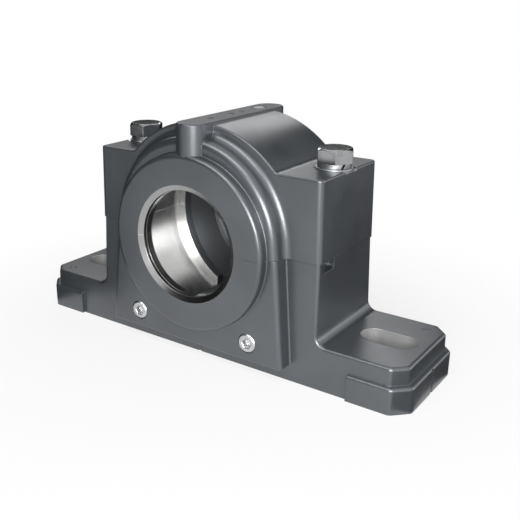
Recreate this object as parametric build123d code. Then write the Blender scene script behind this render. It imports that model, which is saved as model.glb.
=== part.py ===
"""Split plummer block: a two-piece cast housing for a 110 mm outside-diameter bearing.

Frame: the shaft axis runs along Y at the centre height, X is the length, Z is up. The origin
lies in the mounting face, midway between the foot slots. All lengths are in millimetres.
"""
from build123d import *
from math import cos, hypot, radians, sin, sqrt, tan
import os

os.makedirs("parts", exist_ok=True)

# ---------------------------------------------------------------- bearing seat and shaft way
seat_diameter = 110.0           # bearing outside diameter
seat_width = 38.0               # between the two shoulders
shoulder_height = 4.3           # step of the shoulders inside the seat
shoulder_width = 6.0            # land of the shoulders, before the grease space narrows
cavity_depth = 18.3             # grease space between a shoulder and an end wall
end_wall = 8.3                  # end wall, inner face to boss face
shaft_bore = 60.0               # way through the end walls
bore_chamfer_radial = 3.0
bore_chamfer_axial = 1.7
seal_groove_offset = 1.9        # boss face to groove
seal_groove_width = 2.0
seal_groove_depth = 3.0
drain_notch_width = 9.3
drain_notch_depth = 3.4
sump_width = 50.0               # gap in the shoulders at the bottom

# ---------------------------------------------------------------- cast walls
floor_thickness = 13.5          # under the bearing seat
dome_wall = 9.4                 # over the bearing seat
arch_inset = 10.2               # dome outside to arch outside
arch_height = 9.2               # arch plate in front of the pillars, at the split
boss_inset = 4.7                # arch outside to seal boss outside
boss_height = 5.9               # seal boss in front of the arch plate, at the split
boss_edge_radius = 2.4
boss_root_radius = 0.6
boss_wall = 8.5                 # seal boss outside to cavity
arch_rise = 3.5                 # centre of the arch above the shaft axis
arch_edge_radius = 4.0          # on the cap
arch_root_radius = 4.0
panel_side_edge_radius = 3.0    # on the base, where the arch plate runs down to the foot
panel_side_root_radius = 1.0
panel_lift = 9.0                # arch plate's lower edge above the mounting face
panel_edge_radius = 0.9
panel_flare = 5.4               # degrees, lean of the plate's straight sides
panel_face_lean = 1.2           # degrees, face of the plate on the base, wider at the foot
dome_root_radius = 4.0

# ---------------------------------------------------------------- pillars and split
bolt_wall = 2.85                # seat to cap-bolt hole
pillar_end = 10.6               # cap-bolt axis to the pillar's end face, at the split
pillar_top = 43.2               # top face of the pillar above the split
pillar_corner_radius = 3.0
cap_edge_radius = 1.0           # pillar tops and dome, all along their front and rear edges
cap_overhang = 0.8              # the cap stands proud of the base all round at the split
pillar_draft = 1.3              # degrees, end faces
face_draft = 0.4                # degrees, front and rear faces of the cap
base_face_draft = 2.0           # degrees, front and rear faces of the base

# ---------------------------------------------------------------- foot
foot_height = 24.3
foot_root_radius = 5.5
foot_corner = 7.4               # corner chamfer of the upper foot
foot_corner_radius = 3.0
foot_edge_radius = 1.8
slot_length = 31.4
slot_width = 16.5
slot_to_pillar = 11.0           # pillar end to the slot's inner end
slot_to_end = 9.7               # slot's outer end to the end of the foot
flange_height = 14.5            # heavier lower flange at both ends of the foot
flange_proud_end = 3.0
flange_proud_side = 1.8
flange_length = 32.8
flange_corner = 8.6
flange_corner_radius = 4.0
flange_edge_radius = 1.8
centre_mark_radius = 1.0        # alignment grooves on the centre lines of the mounting face
centre_mark_offset = 0.2        # groove axis in front of the face that it is cut in
dowel_mark_diameter = 2.4       # marks for drilling dowel holes in the foot
dowel_mark_depth = 0.8
dowel_mark_from_end = 9.3
dowel_mark_from_side = 8.2
dowel_mark_pitch = 3.0
pry_notch_length = 12.5
pry_notch_height = 6.0
pry_notch_depth = 3.4
pry_notch_corner = 2.0
pry_notch_setback = 3.4         # from the pillar's side face

# ---------------------------------------------------------------- lubrication pad on the cap
pad_width = 17.6
pad_rise = 0.8                  # pad face above the dome's crown
pad_end_clearance = 0.3         # pad end behind the seal boss face
pad_chamfer = 0.7
lube_plug_diameter = 8.0
lube_plug_offset = 26.5         # behind the middle of the cap
lube_plug_length = 7.0
lube_plug_socket = 4.0          # across flats
lube_way_diameter = 4.0
centre_dimple_diameter = 4.2
centre_dimple_depth = 1.3
centre_dimple_places = (-20.6, -1.3, 8.4)

# ---------------------------------------------------------------- fasteners
bolt_diameter = 12.0
bolt_length = 65.0
bolt_head_width = 18.0          # across flats
bolt_head_height = 7.5
bolt_head_flat = 17.0           # diameter of the flat on top of the head
bolt_head_slope = 30.0          # degrees, chamfer round that flat
bolt_end_chamfer = 1.0
bolt_hole_clearance = 1.5       # on diameter, through the cap
thread_clearance = 0.1          # on radius, in every threaded hole
thread_runout = 4.0             # threaded hole below the bolt's end
spotface_diameter = 22.6
spotface_depth = 1.3
flat_washer_diameter = 20.0
flat_washer_thickness = 2.0
flat_washer_chamfer = 0.4
spring_washer_diameter = 18.1
spring_washer_thickness = 2.5
spring_washer_chamfer = 0.3
washer_bore_clearance = 0.5     # on radius
spring_washer_gap = 1.4
spring_washer_gap_angle = -33.0
spring_washer_gap_lean = 25.0   # degrees, slant of the cut
dowel_diameter = 6.0
dowel_length = 16.0
dowel_chamfer = 0.6
dowel_clearance = 0.05          # on radius
dowel_end_clearance = 0.5
dowel_offset = 19.0             # from the cap-bolt axis, along Y
corner_plug_diameter = 11.0
corner_plug_length = 8.0
corner_plug_socket = 5.0        # across flats
corner_plug_inset = 22.0        # from the plate's lower corner, along X
corner_plug_rise = 10.1         # above the plate's lower edge
plug_proud = 0.4
plug_chamfer = 0.8
socket_depth = 3.5
socket_chamfer = 0.4
socket_point_depth = 1.0        # drilled cone at the bottom of a socket
drill_tip = 0.2                 # radius left at the tip of each drilled cone
hole_depth_margin = 1.0         # threaded holes below the plugs

# ---------------------------------------------------------------- derived sizes
seat_radius = seat_diameter / 2
centre_height = seat_radius + floor_thickness
dome_radius = seat_radius + dome_wall
arch_radius = dome_radius - arch_inset
boss_radius = arch_radius - boss_inset
boss_face = seat_width / 2 + cavity_depth + end_wall
arch_face = boss_face - boss_height
pillar_face = arch_face - arch_height
bolt_hole_diameter = bolt_diameter + bolt_hole_clearance
bolt_x = seat_radius + bolt_wall + bolt_hole_diameter / 2
pillar_x = bolt_x + pillar_end
base_pillar_x = pillar_x - cap_overhang
pillar_foot_x = base_pillar_x + (centre_height - foot_height) * tan(radians(pillar_draft))
pillar_top_z = centre_height + pillar_top
slot_x = pillar_foot_x + slot_to_pillar + slot_length / 2
flange_x = slot_x + slot_length / 2 + slot_to_end
foot_x = flange_x - flange_proud_end
base_face = pillar_face - cap_overhang
foot_y = base_face + centre_height * tan(radians(base_face_draft))
flange_y = foot_y + flange_proud_side
pad_top_z = centre_height + dome_radius + pad_rise
pad_end_y = boss_face - pad_end_clearance
arch_centre_z = centre_height + arch_rise
panel_drop = arch_centre_z - panel_lift
panel_foot_x = arch_radius / cos(radians(panel_flare)) + panel_drop * tan(radians(panel_flare))
corner_plug_x = panel_foot_x - corner_plug_inset
corner_plug_z = panel_lift + corner_plug_rise
spotface_z = pillar_top_z - spotface_depth
washer_top_z = spotface_z + flat_washer_thickness
head_seat_z = washer_top_z + spring_washer_thickness

far = 3 * flange_x              # longer than any part of the housing
over = 1.0                      # how far a cut runs past the face that it opens
near = 1.0                      # window for picking edges by their place
hair = 0.05                     # heights closer than this are the same


# ---------------------------------------------------------------- helpers
def along_y(sketch, start, end):
    """Extrude a front-view sketch (drawn in X and Z) from Y = start to Y = end."""
    plane = Plane(origin=(0, end, 0), x_dir=(1, 0, 0), z_dir=(0, -1, 0))
    return extrude(plane * sketch, amount=end - start)


def rod_along_y(x, z, radius, start, end):
    """Round bar parallel to the shaft axis."""
    return along_y(Pos(x, z) * Circle(radius), start, end)


def above(height):
    """Everything above a height."""
    return Pos(0, 0, height + far / 2) * Box(far, far, far)


def below(height):
    """Everything below a height."""
    return Pos(0, 0, height - far / 2) * Box(far, far, far)


def both_ends(shape):
    """A front feature and its copy turned half a turn about Z, for the rear."""
    return shape + Rot(0, 0, 180) * shape


def upright_edges(shape, low, high, reach):
    """Edges that run between two heights and lie further out than reach in X."""
    picked = []
    for edge in shape.edges():
        box = edge.bounding_box()
        inside = box.min.Z > low - near and box.max.Z < high + near
        upright = box.size.Z > max(box.size.X, box.size.Y)
        if inside and upright and abs(edge.center().X) > reach:
            picked.append(edge)
    return picked


def drill_point(diameter, depth):
    """Cone that a drill leaves, its mouth at Z = 0 and its tip below."""
    return Cone(drill_tip, diameter / 2, depth, align=(Align.CENTER, Align.CENTER, Align.MAX))


# ---------------------------------------------------------------- shaft way and bearing seat
def shaft_way():
    """Everything turned about the shaft axis, drawn as one half profile and revolved."""
    seat_end = seat_width / 2
    shoulder_radius = seat_radius - shoulder_height
    wall_inside = boss_face - end_wall
    cavity_radius = boss_radius - boss_wall
    bore_radius = shaft_bore / 2
    groove_out = boss_face - seal_groove_offset
    groove_in = groove_out - seal_groove_width
    outline = [
        (0, 0),
        (seat_radius, 0),
        (seat_radius, seat_end),
        (shoulder_radius, seat_end),
        (shoulder_radius, seat_end + shoulder_width),
        (cavity_radius, wall_inside),
        (bore_radius, wall_inside),
        (bore_radius, groove_in),
        (bore_radius + seal_groove_depth, groove_in),
        (bore_radius + seal_groove_depth, groove_out),
        (bore_radius, groove_out),
        (bore_radius, boss_face - bore_chamfer_axial),
        (bore_radius + bore_chamfer_radial, boss_face),
        (bore_radius + bore_chamfer_radial, boss_face + over),
        (0, boss_face + over),
    ]
    half = make_face(Polyline(outline, close=True))
    turned = revolve(half, Axis.Y, 360)
    whole = turned + mirror(turned, Plane.XZ)
    return Pos(0, 0, centre_height) * whole


def base_relief():
    """Drain notches in the end walls and the gap in the shoulders, at the bottom."""
    wall_inside = boss_face - end_wall
    groove_out = boss_face - seal_groove_offset
    notch_bottom = centre_height - shaft_bore / 2 - drain_notch_depth
    notch = Box(
        drain_notch_width, groove_out - wall_inside + over, shaft_bore / 2,
        align=(Align.CENTER, Align.MAX, Align.MIN),
    )
    notches = both_ends(Pos(0, over - wall_inside, notch_bottom) * notch)
    reach = seat_width / 2 + shoulder_width
    round_space = rod_along_y(0, centre_height, seat_radius, -reach, reach)
    gap = round_space & (Pos(0, 0, centre_height / 2) * Box(sump_width, far, centre_height))
    return notches + gap


# ---------------------------------------------------------------- the arch plate and seal boss
def plate_outline():
    """Front view of the arch plate: a round top on two straight, flared sides."""
    flare = radians(panel_flare)
    touch_x = arch_radius * cos(flare)
    touch_z = arch_centre_z + arch_radius * sin(flare)
    edges = [
        Line((-touch_x, touch_z), (-panel_foot_x, panel_lift)),
        Line((-panel_foot_x, panel_lift), (panel_foot_x, panel_lift)),
        Line((panel_foot_x, panel_lift), (touch_x, touch_z)),
        ThreePointArc(
            (touch_x, touch_z), (0, arch_centre_z + arch_radius), (-touch_x, touch_z)
        ),
    ]
    return make_face(edges)


def plate_face_cut():
    """What lies in front of the plate's face, upright on the cap and leaning on the base."""
    lean_foot = arch_face + centre_height * tan(radians(panel_face_lean))
    profile = Polyline(
        (-arch_face, centre_height), (-arch_face, far), (-far, far), (-far, 0),
        (-lean_foot, 0), close=True,
    )
    return extrude(Plane.YZ * make_face(profile), amount=far, both=True)


def arch_plate(base_side):
    """Front arch plate on one side of the split, with its rounded edge."""
    depth = boss_face + centre_height * tan(radians(panel_face_lean))
    plate = along_y(plate_outline(), -depth, 0) - plate_face_cut()
    keep = below(centre_height) if base_side else above(centre_height)
    plate = plate & keep
    front = plate.faces().sort_by(Axis.Y)[0]
    rim = []
    for edge in front.edges():
        height = edge.center().Z
        if abs(height - centre_height) > hair and abs(height - panel_lift) > hair:
            rim.append(edge)
    plate = fillet(rim, panel_side_edge_radius if base_side else arch_edge_radius)
    if base_side:
        lower = plate.edges().filter_by(Axis.X).group_by(Axis.Z)[0].sort_by(Axis.Y)[0]
        plate = fillet(lower, panel_edge_radius)
    return plate


def seal_boss(base_side):
    """Round boss of the shaft way, flat faced, on one side of the split."""
    disc = rod_along_y(0, centre_height, boss_radius, -boss_face, 0)
    disc = fillet(disc.edges().sort_by(Axis.Y)[0], boss_edge_radius)
    keep = below(centre_height) if base_side else above(centre_height)
    return disc & keep


# ---------------------------------------------------------------- base casting
def base_block():
    """Foot and pillars: a front profile crossed with the drafted side profile."""
    outline = Polyline(
        (-foot_x, 0), (foot_x, 0), (foot_x, foot_height), (pillar_foot_x, foot_height),
        (base_pillar_x, centre_height), (-base_pillar_x, centre_height),
        (-pillar_foot_x, foot_height), (-foot_x, foot_height), close=True,
    )
    front = make_face(outline)
    roots = [v for v in front.vertices() if abs(abs(v.X) - pillar_foot_x) < hair]
    front = fillet(roots, foot_root_radius)
    side = Polyline(
        (-foot_y, 0), (foot_y, 0), (base_face, centre_height), (-base_face, centre_height),
        close=True,
    )
    wedge = extrude(Plane.YZ * make_face(side), amount=far, both=True)
    block = along_y(front, -foot_y, foot_y) & wedge
    block = chamfer(upright_edges(block, 0, foot_height, foot_x - near), foot_corner)
    corners = upright_edges(block, 0, foot_height, foot_x - foot_corner - near)
    block = fillet(corners, foot_corner_radius)
    top = [e for e in block.edges() if is_foot_rim(e)]
    return fillet(top, foot_edge_radius)


def is_foot_rim(edge):
    """Whether an edge belongs to the rounded rim of the foot or the pillar corners."""
    middle = edge.center()
    box = edge.bounding_box()
    outside = abs(middle.Y) > base_face - near or abs(middle.X) > foot_x - foot_corner - near
    lifted = box.min.Z > foot_height - hair and box.max.Z < centre_height + hair
    across = abs(middle.Z - centre_height) < hair
    return outside and lifted and not across


def foot_flanges():
    """Heavier lower flanges round both ends of the foot."""
    plan = Rectangle(2 * flange_x, 2 * flange_y)
    plan = chamfer(plan.vertices(), flange_corner)
    plan = fillet(plan.vertices(), flange_corner_radius)
    gap = Rectangle(2 * (flange_x - flange_length), 3 * flange_y)
    plan = plan - gap
    flange = extrude(plan, amount=flange_height)
    inner = flange_x - flange_length
    edges = []
    for top in flange.faces().sort_by(Axis.Z)[-2:]:
        edges += [e for e in top.edges() if abs(e.center().X) > inner + hair]
    return fillet(edges, flange_edge_radius)


def foot_cuts():
    """Slots, alignment grooves and drilling marks."""
    slot = extrude(SlotOverall(slot_length, slot_width), amount=foot_height + 2 * over)
    cuts = both_ends(Pos(slot_x, 0, -over) * slot)
    end_groove = Cylinder(centre_mark_radius, 2 * flange_height)
    cuts += both_ends(Pos(flange_x + centre_mark_offset, 0, 0) * end_groove)
    side_groove = Cylinder(centre_mark_radius, 2 * panel_lift)
    cuts += both_ends(Pos(0, -foot_y - centre_mark_offset, 0) * side_groove)
    mark = drill_point(dowel_mark_diameter, dowel_mark_depth)
    mark_x = -foot_x + dowel_mark_from_end
    mark_y = -foot_y + dowel_mark_from_side
    for shift in (0, dowel_mark_pitch):
        cuts += both_ends(Pos(mark_x + shift, mark_y + shift / 2, foot_height) * mark)
    return cuts


def pry_notches():
    """Pockets under the cap's edge, at two opposite corners, to lever the cap off."""
    length = pry_notch_length
    height = pry_notch_height
    pocket = Pos(0, 0, height / 2) * Box(2 * pry_notch_depth, length, 2 * height)
    low = [e for e in pocket.edges().filter_by(Axis.X) if e.center().Z < 0]
    pocket = fillet(low, pry_notch_corner)
    middle_y = -base_face + pry_notch_setback + length / 2
    return both_ends(Pos(base_pillar_x, middle_y, centre_height - height / 2) * pocket)


def plate_roots(body, face_y):
    """Edges where the side walls of the arch plates meet the face that they stand on."""
    picked = []
    for edge in body.edges():
        middle = edge.center()
        box = edge.bounding_box()
        aside = boss_radius < hypot(middle.X, max(0.0, middle.Z - centre_height)) < dome_radius
        behind = base_face - near < abs(middle.Y) < face_y + near
        long = box.size.Z > foot_height
        if aside and behind and long:
            picked.append(edge)
    return picked


def boss_roots(body):
    """Edges where the seal bosses meet the arch plates."""
    picked = []
    for edge in body.edges():
        box = edge.bounding_box()
        round_boss = abs(box.size.X - 2 * boss_radius) < near
        on_plate = abs(abs(edge.center().Y) - arch_face) < boss_height / 2
        if round_boss and on_plate:
            picked.append(edge)
    return picked


def housing_base():
    """Lower half of the housing, one casting with its machined seats and holes."""
    body = base_block() + foot_flanges() + both_ends(arch_plate(True))
    body = fillet(plate_roots(body, foot_y), panel_side_root_radius)
    body = body + both_ends(seal_boss(True))
    body = fillet(boss_roots(body), boss_root_radius)
    body = body - shaft_way() - base_relief() - foot_cuts() - pry_notches()
    tapped = bolt_diameter / 2 + thread_clearance
    tap_end = head_seat_z - bolt_length - thread_runout
    for side in (-1, 1):
        x = side * bolt_x
        body -= Pos(x, 0, tap_end) * Cylinder(
            tapped, centre_height - tap_end + 1, align=(Align.CENTER, Align.CENTER, Align.MIN)
        )
        body -= Pos(x, side * dowel_offset, centre_height) * dowel_hole()
        plug_hole = rod_along_y(
            side * corner_plug_x, corner_plug_z, corner_plug_diameter / 2 + thread_clearance,
            -boss_face, corner_plug_length + hole_depth_margin - corner_face_y(),
        )
        body -= both_ends(plug_hole)
    return body


def corner_face_y():
    """Distance of the arch plate's face from the middle, at the corner plugs."""
    return arch_face + (centre_height - corner_plug_z) * tan(radians(panel_face_lean))


def dowel_hole():
    """Hole for half of a locating pin, centred on the split."""
    return Cylinder(dowel_diameter / 2 + dowel_clearance, dowel_length + 2 * dowel_end_clearance)


# ---------------------------------------------------------------- cap casting
def cap_block():
    """Dome between two pillars: a front profile crossed with the drafted side profile."""
    top_x = pillar_x - pillar_top * tan(radians(pillar_draft))
    shoulders = make_face(Polyline(
        (-pillar_x, centre_height), (pillar_x, centre_height), (top_x, pillar_top_z),
        (-top_x, pillar_top_z), close=True,
    ))
    dome = Pos(0, centre_height) * Circle(dome_radius)
    upper = Pos(0, centre_height + far / 2) * Rectangle(far, far)
    front = (shoulders + dome) & upper
    meet_x = sqrt(dome_radius**2 - pillar_top**2)
    meet = [v for v in front.vertices() if abs(abs(v.X) - meet_x) < hair]
    front = fillet(meet, dome_root_radius)
    rise = dome_radius + over
    top_y = pillar_face - rise * tan(radians(face_draft))
    side = Polyline(
        (-pillar_face, centre_height), (pillar_face, centre_height),
        (top_y, centre_height + rise), (-top_y, centre_height + rise), close=True,
    )
    wedge = extrude(Plane.YZ * make_face(side), amount=far, both=True)
    block = along_y(front, -pillar_face, pillar_face) & wedge
    corners = upright_edges(block, centre_height, pillar_top_z, top_x - near)
    block = fillet(corners, pillar_corner_radius)
    rim = []
    for edge in block.edges():
        aloft = edge.bounding_box().min.Z > pillar_top_z - hair
        crosses = abs(edge.center().Y) < near and abs(edge.center().X) < top_x - near
        if aloft and not crosses:
            rim.append(edge)
    return fillet(rim, cap_edge_radius)


def lubrication_pad():
    """Strip along the crown, its round ends carried down into the walls of the seal bosses."""
    foot_z = centre_height + boss_radius - boss_wall
    strip = extrude(SlotOverall(2 * pad_end_y, pad_width), amount=pad_top_z - foot_z)
    pad = Pos(0, 0, foot_z) * Rot(0, 0, 90) * strip
    return chamfer(pad.faces().sort_by(Axis.Z)[-1].edges(), pad_chamfer)


def cap_cuts():
    """Bolt holes with spotfaces, dowel holes, lubrication way and drilling dimples."""
    through = Cylinder(bolt_hole_diameter / 2, far)
    face = Cylinder(spotface_diameter / 2, far, align=(Align.CENTER, Align.CENTER, Align.MIN))
    cuts = []
    for side in (-1, 1):
        cuts.append(Pos(side * bolt_x, 0, centre_height) * through)
        cuts.append(Pos(side * bolt_x, 0, spotface_z) * face)
        cuts.append(Pos(side * bolt_x, side * dowel_offset, centre_height) * dowel_hole())
    from_top = (Align.CENTER, Align.CENTER, Align.MAX)
    plug_room = over + lube_plug_length + hole_depth_margin
    cuts.append(Pos(0, lube_plug_offset, pad_top_z + over) * Cylinder(
        lube_plug_diameter / 2 + thread_clearance, plug_room, align=from_top
    ))
    cuts.append(Pos(0, lube_plug_offset, pad_top_z) * Cylinder(
        lube_way_diameter / 2, pad_top_z - centre_height, align=from_top
    ))
    for y in centre_dimple_places:
        dimple = drill_point(centre_dimple_diameter, centre_dimple_depth)
        cuts.append(Pos(0, y, pad_top_z) * dimple)
    return cuts


def housing_cap():
    """Upper half of the housing, one casting with its machined seats and holes."""
    body = cap_block() + both_ends(arch_plate(False))
    body = fillet(plate_roots(body, pillar_face), arch_root_radius)
    body = body + both_ends(seal_boss(False))
    body = fillet(boss_roots(body), boss_root_radius)
    body = body + lubrication_pad()
    body = body - shaft_way()
    for cut in cap_cuts():
        body -= cut
    return body


# ---------------------------------------------------------------- fasteners and plugs
def hex_socket(across_flats):
    """Hexagonal socket with a drilled cone at its bottom, opening at Z = 0."""
    corner = across_flats / sqrt(3)
    top = (Align.CENTER, Align.CENTER, Align.MAX)
    socket = extrude(RegularPolygon(corner, 6), amount=-socket_depth)
    mouth = Cone(corner - socket_chamfer, corner, socket_chamfer, align=top)
    return socket + mouth + Pos(0, 0, -socket_depth) * drill_point(across_flats, socket_point_depth)


def cap_bolt():
    """Hexagon head bolt, its head seated at Z = 0 and its shank hanging down."""
    head = extrude(RegularPolygon(bolt_head_width / sqrt(3), 6), amount=bolt_head_height)
    flat = bolt_head_flat / 2
    spread = bolt_head_height / tan(radians(bolt_head_slope))
    head = head & Cone(
        flat + spread, flat, bolt_head_height, align=(Align.CENTER, Align.CENTER, Align.MIN)
    )
    shank = Cylinder(bolt_diameter / 2, bolt_length, align=(Align.CENTER, Align.CENTER, Align.MAX))
    shank = chamfer(shank.edges().sort_by(Axis.Z)[0], bolt_end_chamfer)
    return head + shank


def flat_washer():
    """Plain washer lying on Z = 0, with a chamfered upper rim."""
    inner = bolt_diameter / 2 + washer_bore_clearance
    ring = Cylinder(flat_washer_diameter / 2, flat_washer_thickness)
    ring = Pos(0, 0, flat_washer_thickness / 2) * ring
    ring = chamfer(ring.edges().sort_by(Axis.Z)[-1], flat_washer_chamfer)
    return ring - Cylinder(inner, far)


def spring_washer():
    """Split spring washer, pressed flat, lying on Z = 0."""
    inner = bolt_diameter / 2 + washer_bore_clearance
    height = spring_washer_thickness
    ring = Pos(0, 0, height / 2) * Cylinder(spring_washer_diameter / 2, height)
    ring = chamfer(ring.edges().filter_by(GeomType.CIRCLE), spring_washer_chamfer)
    ring = ring - Cylinder(inner, far)
    gap = Box(spring_washer_diameter, spring_washer_gap, 3 * height)
    gap = Pos(spring_washer_diameter / 2, 0, height / 2) * Rot(spring_washer_gap_lean, 0, 0) * gap
    return ring - Rot(0, 0, spring_washer_gap_angle) * gap


def dowel_pin():
    """Locating pin, centred on Z = 0, with chamfered ends."""
    pin = Cylinder(dowel_diameter / 2, dowel_length)
    return chamfer(pin.edges().filter_by(GeomType.CIRCLE), dowel_chamfer)


def socket_plug(diameter, length, across_flats, proud):
    """Threaded plug, its seat at Z = 0, standing proud by a little, socket upward."""
    top = (Align.CENTER, Align.CENTER, Align.MAX)
    body = Pos(0, 0, proud) * Cylinder(diameter / 2, length + proud, align=top)
    body = chamfer(body.edges().filter_by(GeomType.CIRCLE), plug_chamfer)
    return body - Pos(0, 0, proud) * hex_socket(across_flats)


def save(shape, node):
    """Write one node of the part."""
    export_step(shape, f"parts/{node}.step")


def main():
    """Build every piece in place and write one file for each node."""
    save(housing_base(), "housing_base")
    save(housing_cap(), "housing_cap")
    for name, side in (("left", -1), ("right", 1)):
        x = side * bolt_x
        save(Pos(x, 0, head_seat_z) * cap_bolt(), f"cap_bolt_{name}")
        save(Pos(x, 0, washer_top_z) * spring_washer(), f"spring_washer_{name}")
        save(Pos(x, 0, spotface_z) * flat_washer(), f"flat_washer_{name}")
        save(Pos(x, side * dowel_offset, centre_height) * dowel_pin(), f"dowel_pin_{name}")
        plug = socket_plug(corner_plug_diameter, corner_plug_length, corner_plug_socket, plug_proud)
        front = Pos(side * corner_plug_x, -corner_face_y(), corner_plug_z) * Rot(90, 0, 0)
        rear = Pos(side * corner_plug_x, corner_face_y(), corner_plug_z) * Rot(-90, 0, 0)
        save(front * plug, f"front_plug_{name}")
        save(rear * plug, f"rear_plug_{name}")
    plug = socket_plug(lube_plug_diameter, lube_plug_length, lube_plug_socket, 0)
    save(Pos(0, lube_plug_offset, pad_top_z) * plug, "lubrication_plug")


main()
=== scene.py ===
"""Looks of the split plummer block: its finishes, its bright fasteners and the studio round it.

The castings and the dowel pins are the CAD nodes with a finish. Bolts, washers and plugs are
surfaces worked out here, which stand for their CAD nodes at the same size and place.
All lengths are in metres.
"""
from __future__ import annotations

import logging
import math
from dataclasses import dataclass
from enum import Enum
from typing import Any, Mapping, Sequence

import bpy
import numpy as np
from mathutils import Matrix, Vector


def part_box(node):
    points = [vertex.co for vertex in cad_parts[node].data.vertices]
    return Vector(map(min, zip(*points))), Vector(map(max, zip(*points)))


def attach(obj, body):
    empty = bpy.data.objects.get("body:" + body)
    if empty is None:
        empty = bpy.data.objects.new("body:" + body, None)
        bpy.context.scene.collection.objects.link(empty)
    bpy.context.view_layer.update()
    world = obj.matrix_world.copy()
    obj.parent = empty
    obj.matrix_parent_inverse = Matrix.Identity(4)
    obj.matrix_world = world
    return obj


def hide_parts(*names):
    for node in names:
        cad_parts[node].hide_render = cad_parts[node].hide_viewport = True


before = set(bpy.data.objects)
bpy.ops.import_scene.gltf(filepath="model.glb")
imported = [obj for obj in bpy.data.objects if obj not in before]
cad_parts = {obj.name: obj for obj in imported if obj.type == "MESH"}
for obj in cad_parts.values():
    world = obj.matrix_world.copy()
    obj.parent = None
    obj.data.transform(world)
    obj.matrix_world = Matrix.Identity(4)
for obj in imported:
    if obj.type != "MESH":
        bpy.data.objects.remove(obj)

log = logging.getLogger("plummer_block")

MM = 0.001
SHAFT_HEIGHT = 68.5 * MM
FULL_TURN = 2 * math.pi
SHARP_ANGLE = math.radians(32)
EDGE_SAMPLES = 6
CARD_POINTS = 48
SENSOR_WIDTH = 36.0
WHITE = (1.0, 1.0, 1.0)
BLACK = (0.0, 0.0, 0.0)

Grid = np.ndarray
Colour = tuple[float, float, float]
Point = tuple[float, float, float]
Span = tuple[float, float]


# ------------------------------ shader maths
@dataclass(frozen=True)
class Value:
    """A number on a shader socket, which can be used in plain arithmetic.

    Attributes:
        tree: the node tree that the socket belongs to.
        socket: the output that carries the number.
    """

    tree: Any
    socket: Any

    def maths(self, operation: str, left: Any, right: Any = 0.0) -> "Value":
        """Add one Math node.

        Args:
            operation: the Math node's operation.
            left: first term, a number or a Value.
            right: second term, a number or a Value.

        Returns:
            The node's result.
        """
        made = self.tree.nodes.new("ShaderNodeMath")
        made.operation = operation
        for slot, term in zip(made.inputs, (left, right)):
            feed(self.tree, slot, term)
        return Value(self.tree, made.outputs[0])

    def __add__(self, other: Any) -> "Value":
        """Sum."""
        return self.maths("ADD", self, other)

    __radd__ = __add__

    def __mul__(self, other: Any) -> "Value":
        """Product."""
        return self.maths("MULTIPLY", self, other)

    __rmul__ = __mul__

    def __sub__(self, other: Any) -> "Value":
        """Difference."""
        return self.maths("SUBTRACT", self, other)

    def __rsub__(self, other: Any) -> "Value":
        """Difference, this value taken from a number."""
        return self.maths("SUBTRACT", other, self)

    def __pow__(self, other: Any) -> "Value":
        """Power."""
        return self.maths("POWER", self, other)

    def __abs__(self) -> "Value":
        """Size without sign."""
        return self.maths("ABSOLUTE", self)

    def sine(self) -> "Value":
        """Sine of this value in radians."""
        return self.maths("SINE", self)

    def at_least(self, other: Any) -> "Value":
        """The larger of two values."""
        return self.maths("MAXIMUM", self, other)


def feed(tree: Any, slot: Any, term: Any) -> None:
    """Link a socket or write a constant on it.

    Args:
        tree: the node tree.
        slot: the input to fill.
        term: a Value, an output socket, or a constant.
    """
    if isinstance(term, Value):
        tree.links.new(term.socket, slot)
    elif isinstance(term, bpy.types.NodeSocket):
        tree.links.new(term, slot)
    elif isinstance(term, (tuple, list)) and slot.type == "RGBA" and len(term) == 3:
        slot.default_value = (*term, 1.0)
    else:
        slot.default_value = term


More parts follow.
